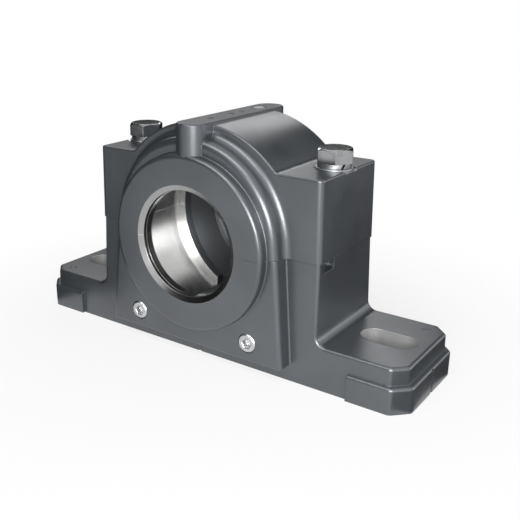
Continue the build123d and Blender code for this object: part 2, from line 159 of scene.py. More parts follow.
class Graph:
    """Node tree of one material or world, with short methods for what the finishes use."""

    def __init__(self, owner: Any) -> None:
        """Start an empty tree.

        Args:
            owner: the material or world that the tree belongs to.
        """
        owner.use_nodes = True
        self.owner = owner
        self.tree = owner.node_tree
        self.tree.nodes.clear()

    @classmethod
    def material(cls, name: str) -> "Graph":
        """Start an empty material."""
        return cls(bpy.data.materials.new(name))

    def node(
        self,
        kind: str,
        settings: Mapping[str, Any] | None = None,
        sockets: Mapping[Any, Any] | None = None,
    ) -> Any:
        """Add one node: its settings first, then its sockets.

        Args:
            kind: the node's type, without its ShaderNode prefix.
            settings: attributes of the node.
            sockets: input name or index to a constant, a Value or an output.

        Returns:
            The node.
        """
        made = self.tree.nodes.new("ShaderNode" + kind)
        for name, setting in (settings or {}).items():
            setattr(made, name, setting)
        for name, term in (sockets or {}).items():
            feed(self.tree, made.inputs[name], term)
        return made

    def value(self, socket: Any) -> Value:
        """Wrap an output socket as a Value."""
        return Value(self.tree, socket)

    def place(self) -> Any:
        """Object coordinates, in metres."""
        return self.node("TexCoord").outputs["Object"]

    def axes(self, vector: Any) -> tuple[Value, Value, Value]:
        """Split a vector into its X, Y and Z."""
        parts = self.node("SeparateXYZ", sockets={0: vector}).outputs
        return self.value(parts[0]), self.value(parts[1]), self.value(parts[2])

    def step(self, signal: Any, start: float, end: float) -> Value:
        """Smooth step from 0 at start to 1 at end; it falls where start is the larger.

        Args:
            signal: what is compared.
            start: where the result is 0.
            end: where the result is 1.

        Returns:
            The step.
        """
        low, high = sorted((start, end))
        made = self.node(
            "MapRange",
            {"interpolation_type": "SMOOTHSTEP"},
            {"Value": signal, "From Min": low, "From Max": high},
        )
        rise = self.value(made.outputs[0])
        return rise if start <= end else 1 - rise

    def noise(self, vector: Any, size: float, detail: float = 3.0, rough: float = 0.55) -> Value:
        """Noise from 0 to 1.

        Args:
            vector: where it is read.
            size: size of its largest features, in metres.
            detail: octaves.
            rough: weight of the finer octaves.

        Returns:
            The noise.
        """
        made = self.node(
            "TexNoise", {}, {"Vector": vector, "Scale": 1 / size, "Detail": detail, "Roughness": rough}
        )
        return self.value(made.outputs[0])

    def cells(self, vector: Any, size: float) -> Value:
        """Distance to the nearest of scattered points, in cell sizes."""
        made = self.node("TexVoronoi", {}, {"Vector": vector, "Scale": 1 / size})
        return self.value(made.outputs["Distance"])

    def mix(self, amount: Any, first: Any, second: Any) -> Any:
        """Blend two colours."""
        made = self.node("Mix", {"data_type": "RGBA"}, {0: amount, 6: first, 7: second})
        return made.outputs[2]

    def blend(self, amount: Any, first: Any, second: Any) -> Value:
        """Blend two numbers: first where amount is 0, second where it is 1."""
        made = self.node("Mix", {"data_type": "FLOAT"}, {0: amount, 2: first, 3: second})
        return self.value(made.outputs[0])

    def edges(self, radius: float) -> tuple[Any, Value]:
        """Rounded normal along sharp edges, and how far it leans from the true one.

        Args:
            radius: radius of the rounding, in metres.

        Returns:
            The rounded normal, and 0 on a face rising towards 1 on an edge.
        """
        rounded = self.node("Bevel", {"samples": EDGE_SAMPLES}, {"Radius": radius}).outputs[0]
        true = self.node("NewGeometry").outputs["Normal"]
        dot = self.node("VectorMath", {"operation": "DOT_PRODUCT"}, {0: rounded, 1: true})
        return rounded, 1 - self.value(dot.outputs["Value"])

    def bump(self, height: Any, depth: float, normal: Any) -> Any:
        """Bumped normal.

        Args:
            height: height signal, 0 to 1.
            depth: height of a step of 1, in metres.
            normal: the normal to start from.

        Returns:
            The bumped normal.
        """
        sockets = {"Height": height, "Distance": depth, "Strength": 1.0, "Normal": normal}
        return self.node("Bump", {}, sockets).outputs[0]

    def seen(self) -> Value:
        """1 for rays from the camera and for rays that gloss or glass sends on.

        Returns:
            1 for those rays and 0 for all others.
        """
        path = self.node("LightPath").outputs
        camera = self.value(path["Is Camera Ray"])
        gloss = self.value(path["Is Glossy Ray"])
        return camera.at_least(gloss).at_least(self.value(path["Is Transmission Ray"]))

    def surface(self, sockets: Mapping[str, Any]) -> Any:
        """End the tree in a Principled shader and return the material.

        Args:
            sockets: its inputs.

        Returns:
            The finished material.
        """
        shader = self.node("BsdfPrincipled", {}, sockets)
        self.node("OutputMaterial", {}, {"Surface": shader.outputs[0]})
        return self.owner


# ------------------------------ finishes
@dataclass(frozen=True)
class CastingFinish:
    """Dark enamel over sand-cast iron, with the machined faces left bright.

    Attributes:
        enamel: colour of the paint.
        worn_and_highlight: colour where the paint has rubbed thin.
        enamel_tint: colour of the paint's gloss seen straight on.
        bright: colour of the machined iron.
        dull: colour towards which the mouth of the shaft way goes as painted shade, and towards which
            the slots go.
        enamel_rough: roughness of the paint.
        enamel_ior: refractive index of the paint, high because of its metallic pigment.
        bright_rough: roughness of the machined iron.
        tones: darkest and lightest patch of the paint, as shares of its colour.
        tone_size: size of those patches.
        tone_span: noise at which a patch is darkest and lightest.
        flow_size: size of the slow waves in the paint.
        grain_size: size of the sand grain under the paint.
        grain_depth: depth of that grain.
        heights: height of the grain and of the waves, in grain depths.
        rough_by: how much the grain and the waves change the roughness.
        edge_radius: rounding seen along sharp edges.
        wear_and_highlight_lean: lean of that rounding at which the rubbed paint and painted edge
            highlight start and are full.
        wear_and_highlight_size: size of the patches of rubbed paint and painted highlight.
        wear_and_highlight_span: noise at which such a patch starts and is full.
        worn_and_highlight_share: how far rubbed paint and painted edge highlight go towards their
            lighter colour.
        bright_low: darkest tone of the machined iron, as a share of its colour.
        mark_pitch: spacing of the turning marks.
        mark_depth: height of the marks with the scratches.
        scratch_size: size of the scratches.
        scratch_turns: how many times closer the scratches lie along Y.
        scratch_rough: how much the scratches change the roughness.
        mouth_shade_start: distance from the middle where the painted shade of the mouth starts, with
            its groove.
        mouth_shade_fade: length over which the mouth turns dull, as painted shade.
        mouth_shade_slot_grey: how far the mouth goes towards the dull colour as painted shade, and how
            far the slots go towards it.
        slot_dull: how far the milled slots fall short of a metal's mirror.
        slot_rough: how much rougher the slots are.
        hair: width of the soft rim of a machined face.
        seat_radius: radius of the bearing seat.
        seat_half_width: half the width of the bearing seat.
        way_radius: outer radius of the chamfer at the mouth of the shaft way.
        bolt_x: distance of the cap bolts from the middle.
        spotface_radius: radius of the spotfaces under the cap bolts.
        spotface_z: height of those spotfaces.
        hole_radius: radius of the bolt holes, with a little to spare.
        slot_x: middle of a foot slot.
        slot_reach: from the middle of a slot to the centre of its round end.
        slot_radius: half the width of a slot.
    """

    enamel: Colour = (0.030, 0.0335, 0.037)
    worn_and_highlight: Colour = (0.15, 0.155, 0.16)
    enamel_tint: Colour = (0.92, 0.96, 1.0)
    bright: Colour = (0.60, 0.60, 0.59)
    dull: Colour = (0.30, 0.30, 0.30)
    enamel_rough: float = 0.33
    enamel_ior: float = 2.0
    bright_rough: float = 0.24
    tones: Span = (0.80, 1.22)
    tone_size: float = 45 * MM
    tone_span: Span = (0.3, 0.7)
    flow_size: float = 14 * MM
    grain_size: float = 1.5 * MM
    grain_depth: float = 0.009 * MM
    heights: Span = (0.5, 2.0)
    rough_by: Span = (0.08, 0.10)
    edge_radius: float = 0.45 * MM
    wear_and_highlight_lean: Span = (0.03, 0.25)
    wear_and_highlight_size: float = 5 * MM
    wear_and_highlight_span: Span = (0.45, 0.7)
    worn_and_highlight_share: float = 0.55
    bright_low: float = 0.82
    mark_pitch: float = 0.32 * MM
    mark_depth: float = 0.004 * MM
    scratch_size: float = 6 * MM
    scratch_turns: float = 9.0
    scratch_rough: float = 0.14
    mouth_shade_start: float = 41.0 * MM
    mouth_shade_fade: float = 0.4 * MM
    mouth_shade_slot_grey: Span = (0.7, 0.6)
    slot_dull: float = 0.5
    slot_rough: float = 0.2
    hair: float = 0.03 * MM
    seat_radius: float = 55.0 * MM
    seat_half_width: float = 19.0 * MM
    way_radius: float = 33.0 * MM
    bolt_x: float = 64.6 * MM
    spotface_radius: float = 11.3 * MM
    spotface_z: float = 110.4 * MM
    hole_radius: float = 6.8 * MM
    slot_x: float = 102.1 * MM
    slot_reach: float = 7.45 * MM
    slot_radius: float = 8.25 * MM

    def machined(self, graph: Graph, place: Any) -> tuple[Value, Value]:
        """Where the casting is machined bright: 1 on the seat, the way, spotfaces and slots.

        Args:
            graph: the tree to build in.
            place: object coordinates.

        Returns:
            The mask of all of them, and the mask of the slots alone.
        """
        x, y, z = graph.axes(place)
        hair = self.hair

        def within(distance: Value, limit: float) -> Value:
            """1 up to a limit, 0 a hair or two beyond it."""
            return graph.step(distance, limit + 2 * hair, limit + hair)

        rise = z - SHAFT_HEIGHT
        radius = (x * x + rise * rise) ** 0.5
        seat = within(radius, self.seat_radius) * within(abs(y), self.seat_half_width)
        way = within(radius, self.way_radius)
        aside = abs(x) - self.bolt_x
        around = (aside * aside + y * y) ** 0.5
        above = graph.step(z, self.spotface_z - 2 * hair, self.spotface_z - hair)
        spot = within(around, self.spotface_radius) * above
        spot = spot.at_least(within(around, self.hole_radius))
        along = (abs(abs(x) - self.slot_x) - self.slot_reach).at_least(0.0)
        slot = within((along * along + y * y) ** 0.5, self.slot_radius)
        under = graph.step(z, 4 * hair, 2 * hair)
        return seat.at_least(way).at_least(spot).at_least(slot).at_least(under), slot

    def build(self) -> Any:
        """Make the material of both castings.

        Returns:
            The material.
        """
        graph = Graph.material("cast_enamel")
        place = graph.place()
        _, y, _ = graph.axes(place)
        machined, slot = self.machined(graph, place)
        grain = graph.noise(place, self.grain_size, 4.0, 0.6)
        flow = graph.noise(place, self.flow_size, 2.0, 0.5)
        tone = graph.noise(place, self.tone_size)
        rounded, lean = graph.edges(self.edge_radius)
        # Rubbed paint on sharp edges, lighter in patches; it also paints a highlight along those
        # edges.
        wear_and_highlight = graph.step(lean, *self.wear_and_highlight_lean)
        wear_and_highlight = wear_and_highlight * graph.step(graph.noise(place, self.wear_and_highlight_size), *self.wear_and_highlight_span)
        dark, light = (tuple(share * part for part in self.enamel) for share in self.tones)
        paint = graph.mix(graph.step(tone, *self.tone_span), dark, light)
        paint = graph.mix(wear_and_highlight * self.worn_and_highlight_share, paint, self.worn_and_highlight)
        marks = (abs(y) * (FULL_TURN / self.mark_pitch)).sine() * 0.5 + 0.5
        drawn = graph.node(
            "Mapping", {}, {"Vector": place, "Scale": (1.0, self.scratch_turns, 1.0)}
        ).outputs[0]
        scratch = graph.noise(drawn, self.scratch_size, 3.0, 0.6)
        metal_dark = tuple(self.bright_low * part for part in self.bright)
        metal = graph.mix(scratch, metal_dark, self.bright)
        # Painted shade: the mouth of the shaft way, with its chamfer and groove, is greyed towards the
        # dull colour; the slots are greyed towards it too.
        mouth = graph.step(abs(y), self.mouth_shade_start, self.mouth_shade_start + self.mouth_shade_fade)
        shade_and_slot_grey = (mouth * self.mouth_shade_slot_grey[0]).at_least(slot * self.mouth_shade_slot_grey[1])
        metal = graph.mix(shade_and_slot_grey, metal, self.dull)
        by_grain, by_flow = self.rough_by
        paint_rough = self.enamel_rough + (flow - 0.5) * by_flow + (grain - 0.5) * by_grain
        scratch_rough = (scratch - 0.5) * self.scratch_rough
        metal_rough = self.bright_rough + scratch_rough + slot * self.slot_rough
        relief = grain * self.heights[0] + flow * self.heights[1]
        cast = graph.bump(relief, self.grain_depth, rounded)
        worked = graph.bump(marks * 0.5 + scratch * 0.5, self.mark_depth, rounded)
        normal = graph.node("Mix", {"data_type": "VECTOR"}, {0: machined, 4: cast, 5: worked})
        return graph.surface({
            "Base Color": graph.mix(machined, paint, metal),
            "Metallic": machined - slot * self.slot_dull,
            "Roughness": graph.blend(machined, paint_rough, metal_rough),
            "Normal": normal.outputs[1],
            "IOR": self.enamel_ior,
            "Specular Tint": self.enamel_tint,
        })


@dataclass(frozen=True)
class PlatedFinish:
    """Zinc plate on a turned or forged piece, with lathe marks about one upright or level axis.

    Attributes:
        name: the material's name.
        colour: colour of the plate.
        rough: roughness of the plate.
        centre: a point on the axis of the piece.
        level: True where the axis lies along Y, False where it stands along Z.
        pitch: spacing of the lathe marks.
        dull: darkest tone of the plate, as a share of its colour.
        cloud_size: size of its patches of tone.
        cloud_span: noise at which a patch is lightest and darkest.
        cloud_rough: how much the patches change the roughness.
        pit_size: spacing of the pits.
        pit_span: distance from a pit's middle where it ends and where it is full, in spacings.
        pit_rough: how much rougher a pit is.
        edge_radius: rounding seen along sharp edges.
        edge_lean: lean of that rounding at which the polish starts and is full.
        edge_polish: how much smoother the edges are.
        relief: weights of the lathe marks, the patches and the pits in the relief.
        depth: depth of the relief.
    """

    name: str
    colour: Colour = (0.36, 0.37, 0.38)
    rough: float = 0.19
    centre: Point = (0.0, 0.0, 0.0)
    level: bool = False
    pitch: float = 0.35 * MM
    dull: float = 0.78
    cloud_size: float = 7 * MM
    cloud_span: Span = (0.35, 0.7)
    cloud_rough: float = 0.08
    pit_size: float = 0.9 * MM
    pit_span: Span = (0.16, 0.06)
    pit_rough: float = 0.05
    edge_radius: float = 0.15 * MM
    edge_lean: Span = (0.02, 0.2)
    edge_polish: float = 0.06
    relief: tuple[float, float, float] = (0.35, 0.5, 0.3)
    depth: float = 0.0015 * MM

    def build(self) -> Any:
        """Make the material.

        Returns:
            The material.
        """
        graph = Graph.material(self.name)
        place = graph.place()
        about = graph.node("VectorMath", {"operation": "SUBTRACT"}, {0: place, 1: self.centre})
        x, y, z = graph.axes(about.outputs[0])
        across = z if self.level else y
        radius = (x * x + across * across) ** 0.5
        rings = (radius * (FULL_TURN / self.pitch)).sine() * 0.5 + 0.5
        cloud = graph.noise(place, self.cloud_size, 3.0, 0.6)
        pits = graph.step(graph.cells(place, self.pit_size), *self.pit_span)
        rounded, lean = graph.edges(self.edge_radius)
        dark = tuple(self.dull * part for part in self.colour)
        rough = self.rough + (cloud - 0.5) * self.cloud_rough + pits * self.pit_rough
        of_rings, of_cloud, of_pits = self.relief
        relief = rings * of_rings + cloud * of_cloud - pits * of_pits
        return graph.surface({
            "Base Color": graph.mix(graph.step(cloud, *self.cloud_span), self.colour, dark),
            "Metallic": 1.0,
            "Roughness": rough - graph.step(lean, *self.edge_lean) * self.edge_polish,
            "Normal": graph.bump(relief, self.depth, rounded),
        })


@dataclass(frozen=True)
class FloorFinish:
    """Matt white floor that looks white to the eye and to gloss, and keeps the shadow.

    Attributes:
        colour: colour of the floor.
        rough: roughness of the floor.
        glow: share of white where the floor is seen directly or in a reflection, near the housing.
        near: distance from the middle up to which that share holds.
        far: distance from which the floor is seen as plain white.
    """

    colour: Colour = (0.8, 0.8, 0.8)
    rough: float = 0.9
    glow: float = 0.80
    near: float = 80 * MM
    far: float = 260 * MM

    def build(self) -> Any:
        """Make the material.

        Returns:
            The material.
        """
        graph = Graph.material("studio_floor")
        x, y, _ = graph.axes(graph.place())
        spread = graph.step((x * x + y * y) ** 0.5, self.near, self.far)
        seen = graph.seen() * (self.glow + spread * (1 - self.glow))
        shader = graph.node("BsdfPrincipled", {}, {
            "Base Color": self.colour,
            "Roughness": self.rough,
            "Specular IOR Level": 0.0,
        }).outputs[0]
        white = graph.node("Emission", {}, {"Color": WHITE}).outputs[0]
        both = graph.node("MixShader", {}, {0: seen, 1: shader, 2: white}).outputs[0]
        graph.node("OutputMaterial", {}, {"Surface": both})
        return graph.owner


# ------------------------------ surfaces
def polar(radius: Grid, angles: Grid, height: Grid) -> Grid:
    """Points about Z: X is radius times the angle's cosine, Y radius times its sine.

    Args:
        radius: radius of each point.
        angles: angle of each point.
        height: Z of each point.

    Returns:
        Points, with X, Y and Z along the last axis.
    """
    across, along = radius * np.cos(angles), radius * np.sin(angles)
    return np.stack(np.broadcast_arrays(across, along, height), axis=-1)


def hexagon(across_flats: float, corner_radius: float, on_corner: int, on_side: int) -> Grid:
    """Hexagon with rounded corners on X, as points counter-clockwise.

    Each corner is an arc about a centre that lies on the corner's ray, inside by the corner
    radius; each side joins two arcs by even steps along the straight line between them.

    Args:
        across_flats: width between opposite flats.
        corner_radius: radius of the corners.
        on_corner: points on each corner.
        on_side: points on each side, between two corners.

    Returns:
        Points in X and Y.
    """
    reach = (across_flats / 2 - corner_radius) / math.cos(math.pi / 6)
    rays = np.arange(6)[:, None] * math.pi / 3
    sweep = rays + np.linspace(-math.pi / 6, math.pi / 6, on_corner)[None, :]
    arcs = np.stack([
        reach * np.cos(rays) + corner_radius * np.cos(sweep),
        reach * np.sin(rays) + corner_radius * np.sin(sweep),
    ], axis=2)
    share = np.linspace(0.0, 1.0, on_side + 2)[1:-1][None, :, None]
    ends = arcs[:, -1:, :]
    starts = np.roll(arcs, -1, axis=0)[:, :1, :]
    sides = ends * (1 - share) + starts * share
    return np.concatenate([arcs, sides], axis=1).reshape(-1, 2)


def turned(section: Grid, count: int) -> Grid:
    """Rings of a turned shape: each point (radius, height) of a section carried once round Z.

    Args:
        section: radius and height of each ring.
        count: points on each ring.

    Returns:
        Array of rings by points by three.
    """
    angles = np.linspace(0.0, FULL_TURN, count, endpoint=False)
    return polar(section[:, 0:1], angles, section[:, 1:2])


class Closing(Enum):
    """How a stack of rings is closed: by a face on both ends, or by joining last to first."""

    ENDS = "ends"
    LOOP = "loop"


class Facing(Enum):
    """Where a piece's Z points once it is placed, as quarter turns about X."""

    FRONT = 1
    REAR = -1
    UP = 0


def ring_faces(rows: int, count: int, closing: Closing) -> list[tuple[int, ...]]:
    """Faces between neighbouring rings, and the two end faces or the joint.

    Args:
        rows: number of rings.
        count: points on each ring.
        closing: how the stack is closed.

    Returns:
        Faces as tuples of vertex numbers.
    """
    last = rows if closing is Closing.LOOP else rows - 1
    row = np.arange(last)[:, None] * count
    after = (np.arange(last)[:, None] + 1) % rows * count
    col = np.arange(count)[None, :]
    side = (col + 1) % count
    quads = np.stack([row + col, after + col, after + side, row + side], axis=2)
    faces = [tuple(quad) for quad in quads.reshape(-1, 4).tolist()]
    if closing is Closing.ENDS:
        first = np.arange(count)
        faces.append(tuple(first.tolist()))
        faces.append(tuple((first[::-1] + (rows - 1) * count).tolist()))
    return faces


def build_mesh(
    name: str, rings: Grid, closing: Closing, place: Vector, facing: Facing = Facing.UP
) -> Any:
    """Put rings into a mesh object whose own place stays at the origin.

    Args:
        name: the piece's name.
        rings: array of rings by points by three, each ring counter-clockwise, upper ring first.
        closing: how the stack is closed.
        place: where the piece's zero goes.
        facing: where its Z comes to point.

    Returns:
        The object, linked into the scene.
    """
    turn = facing.value * math.pi / 2
    cos, sin = round(math.cos(turn)), round(math.sin(turn))
    rotate = np.array([[1, 0, 0], [0, cos, -sin], [0, sin, cos]], float)
    points = rings.reshape(-1, 3) @ rotate.T + np.array(place)
    mesh = bpy.data.meshes.new(name)
    mesh.from_pydata(points.tolist(), [], ring_faces(rings.shape[0], rings.shape[1], closing))
    mesh.polygons.foreach_set("use_smooth", np.ones(len(mesh.polygons), bool))
    mesh.validate()
    mesh.set_sharp_from_angle(angle=SHARP_ANGLE)
    mesh.update()
    made = bpy.data.objects.new(name, mesh)
    bpy.context.scene.collection.objects.link(made)
    weighted = made.modifiers.new("even_faces", "WEIGHTED_NORMAL")
    weighted.keep_sharp = True
    return made


def finish_piece(piece: Any, material: Any, node: str) -> Any:
    """Dress a new piece and let it stand for its CAD node.

    Args:
        piece: the object.
        material: its material.
        node: the CAD node that it stands for.

    Returns:
        The same object.
    """
    piece.data.materials.append(material)
    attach(piece, "root")
    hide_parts(node)
    log.info("%s: %d faces", piece.name, len(piece.data.polygons))
    return piece


# ------------------------------ fasteners
@dataclass
class CapJoint:
    """One cap bolt with its spring washer and flat washer.

    Attributes:
        side: "left" or "right".
        across_flats: width of the head.
        head_height: height of the head.
        head_flat: diameter of the flat on top of the head.
        head_slope: slope of the chamfer round that flat, in degrees.
        corner_radius: radius of the head's upright corners.
        on_corner: points on each of those corners.
        on_side: points on each side of the head.
        soft: rounding of the edges of the head and the flat washer.
        shank_radius: radius of the shank.
        plain_share: share of the shank that carries no thread.
        pitch: thread pitch.
        thread_depth: depth of the thread.
        thread_rings: rings along the thread.
        end_share: share of the thread's depth that is left at the end.
        end_step: how far the end face lies inside the thread's root.
        washer_bore: radius of the hole in both washers.
        flat_radius: outer radius of the flat washer.
        flat_height: thickness of the flat washer.
        flat_roll: radius of the flat washer's rolled upper rim.
        roll_points: points along that rim.
        flat_points: points round the flat washer.
        spring_radius: outer radius of the spring washer.
        spring_height: thickness of the spring washer.
        spring_corner: radius of the corners of its section.
        corner_points: points on each of those corners.
        spring_rings: sections along the spring washer.
        spring_gap: width of the cut in the spring washer.
        spring_turn: angle of that cut about the bolt, in degrees.
        spring_lean: slant of that cut, in degrees.
        washer_rough: roughness of both washers.
    """

    side: str
    across_flats: float = 18.0 * MM
    head_height: float = 7.5 * MM
    head_flat: float = 17.0 * MM
    head_slope: float = 30.0
    corner_radius: float = 0.35 * MM
    on_corner: int = 5
    on_side: int = 11
    soft: float = 0.1 * MM
    shank_radius: float = 6.0 * MM
    plain_share: float = 0.42
    pitch: float = 1.75 * MM
    thread_depth: float = 0.9 * MM
    thread_rings: int = 200
    end_share: float = 0.6
    end_step: float = 0.2 * MM
    washer_bore: float = 6.5 * MM
    flat_radius: float = 10.0 * MM
    flat_height: float = 2.0 * MM
    flat_roll: float = 0.45 * MM
    roll_points: int = 7
    flat_points: int = 96
    spring_radius: float = 9.05 * MM
    spring_height: float = 2.5 * MM
    spring_corner: float = 0.28 * MM
    corner_points: int = 5
    spring_rings: int = 90
    spring_gap: float = 1.4 * MM
    spring_turn: float = -33.0
    spring_lean: float = 25.0
    washer_rough: float = 0.40

    def axis(self) -> Vector:
        """Middle of the bolt's CAD node, at height zero.

        Returns:
            That point.
        """
        low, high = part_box(f"cap_bolt_{self.side}")
        middle = (low + high) / 2
        return Vector((middle.x, middle.y, 0.0))

    def above(self, height: float) -> Vector:
        """Point on the bolt's axis at a height."""
        return self.axis() + Vector((0.0, 0.0, height))

    def head_rings(self) -> Grid:
        """Rings of the head, from the top down to its seat.

        On top a circle bounds the flat. From there the chamfer falls by its slope times the
        distance beyond that circle, so its lower edge dips towards the corners. Each point of
        an edge has a partner a hair away, which rounds the edge.

        Returns:
            Array of rings by points by three.
        """
        outline = hexagon(self.across_flats, self.corner_radius, self.on_corner, self.on_side)
        reach = np.hypot(outline[:, 0], outline[:, 1])
        around = outline / reach[:, None]
        level = np.ones_like(reach)
        fall = math.tan(math.radians(self.head_slope))
        flat, top, soft = self.head_flat / 2, self.head_height, self.soft

        def ring(radius: Grid, height: Grid) -> Grid:
            """Ring at a radius and a height of its own for each point of the outline."""
            return np.column_stack([around * radius[:, None], height])

        edge = np.minimum(flat, reach - 2 * soft)
        chamfer = top - np.maximum(reach - edge, 0.0) * fall
        return np.stack([
            ring(0.5 * flat * level, top * level),
            ring(edge - soft, top * level),
            ring(edge + 0.2 * soft, top - 0.25 * soft * level),
            ring(reach - soft, chamfer + soft * fall),
            ring(reach - 0.25 * soft, chamfer - 0.2 * soft),
            ring(reach, chamfer - 1.2 * soft),
            ring(reach, soft * level),
            ring(reach - 0.3 * soft, 0.3 * soft * level),
            ring(reach - soft, 0.0 * level),
        ])

    def shank_rings(self, length: float, angles: Grid) -> Grid:
        """Rings of the shank, from under the head to the end.

        The lower part carries a thread: its radius falls by the thread's depth times a
        triangle wave of the height over the pitch less the angle over a full turn, faded in
        over one pitch at its top and its end.

        Args:
            length: from the seat to the end.
            angles: angle of each point on a ring.

        Returns:
            Array of rings by points by three.
        """
        plain = length * self.plain_share
        heights = np.concatenate([
            np.array([0.0, 0.5]) * plain,
            np.linspace(plain, length - self.pitch / 2, self.thread_rings),
            [length],
        ])[:, None]
        phase = heights / self.pitch + angles[None, :] / FULL_TURN
        wave = 1 - np.abs(2 * (phase - np.floor(phase)) - 1)
        fade = np.clip((heights - plain) / self.pitch, 0, 1)
        fade = fade * np.clip((length - heights) / self.pitch, self.end_share, 1)
        radius = self.shank_radius - self.thread_depth * fade * (1 - wave)
        radius[-1] = self.shank_radius - self.thread_depth - self.end_step
        return polar(radius, angles, -heights)

    def build_bolt(self) -> Any:
        """Hexagon head bolt with its shank, its seat at the top of the spring washer.

        Returns:
            The piece.
        """
        low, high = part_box(f"cap_bolt_{self.side}")
        head = self.head_rings()
        angles = np.arctan2(head[-1, :, 1], head[-1, :, 0])
        shank = self.shank_rings(high.z - self.head_height - low.z, angles)
        rings = np.concatenate([head, shank])
        place = self.above(high.z - self.head_height)
        return build_mesh(f"bolt_{self.side}", rings, Closing.ENDS, place)

    def build_flat_washer(self) -> Any:
        """Plain washer: a closed section carried once round, its upper rim rolled over.

        Returns:
            The piece.
        """
        bore, rim, top = self.washer_bore, self.flat_radius, self.flat_height
        soft, roll = self.soft, self.flat_roll
        sweep = np.linspace(0.0, math.pi / 2, self.roll_points)
        over = np.column_stack([
            rim - roll + roll * np.sin(sweep), top - roll + roll * np.cos(sweep)
        ])
        section = np.concatenate([
            [[bore, soft], [bore, top - 2 * soft], [bore + soft, top]],
            over,
            [[rim, soft], [rim - soft, 0.0], [bore + soft, 0.0]],
        ])
        low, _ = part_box(f"flat_washer_{self.side}")
        rings = turned(section, self.flat_points)
        return build_mesh(f"flat_ring_{self.side}", rings, Closing.LOOP, self.above(low.z))

    def build_spring_washer(self) -> Any:
        """Split ring: a rounded oblong section carried from one slanted end to the other.

        A section's corners are quarter arcs. The angle of each point is its share of the open
        turn, moved by its height times the tangent of the slant over the mean radius.

        Returns:
            The piece.
        """
        bore, rim, top = self.washer_bore, self.spring_radius, self.spring_height
        soft = self.spring_corner
        mean = (bore + rim) / 2
        middle = np.array([mean, top / 2])
        half = np.array([(rim - bore) / 2 - soft, top / 2 - soft])
        quarter = np.array([[1, 1], [-1, 1], [-1, -1], [1, -1]], float)
        starts = np.arange(4)[:, None] * math.pi / 2
        arc = starts + np.linspace(0.0, math.pi / 2, self.corner_points)[None, :]
        rounding = soft * np.stack([np.cos(arc), np.sin(arc)], axis=2)
        section = (middle + quarter[:, None, :] * half + rounding).reshape(-1, 2)
        gap = self.spring_gap / mean
        turn = math.radians(self.spring_turn)
        first, last = turn + gap / 2, turn + FULL_TURN - gap / 2
        slant = (section[:, 1] - top / 2) * math.tan(math.radians(self.spring_lean)) / mean
        angles = np.linspace(first, last, self.spring_rings)[:, None] + slant[None, :]
        rings = polar(section[:, 0], angles, section[:, 1])
        low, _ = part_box(f"spring_washer_{self.side}")
        return build_mesh(f"spring_ring_{self.side}", rings, Closing.ENDS, self.above(low.z))

    def dress(self) -> None:
        """Build the three pieces and give them their plate."""
        centre = tuple(self.axis())
        head = PlatedFinish(f"zinc_bolt_{self.side}", centre=centre).build()
        ring = PlatedFinish(
            f"zinc_washer_{self.side}", rough=self.washer_rough, centre=centre
        ).build()
        finish_piece(self.build_bolt(), head, f"cap_bolt_{self.side}")
        finish_piece(self.build_spring_washer(), ring, f"spring_washer_{self.side}")
        finish_piece(self.build_flat_washer(), ring, f"flat_washer_{self.side}")


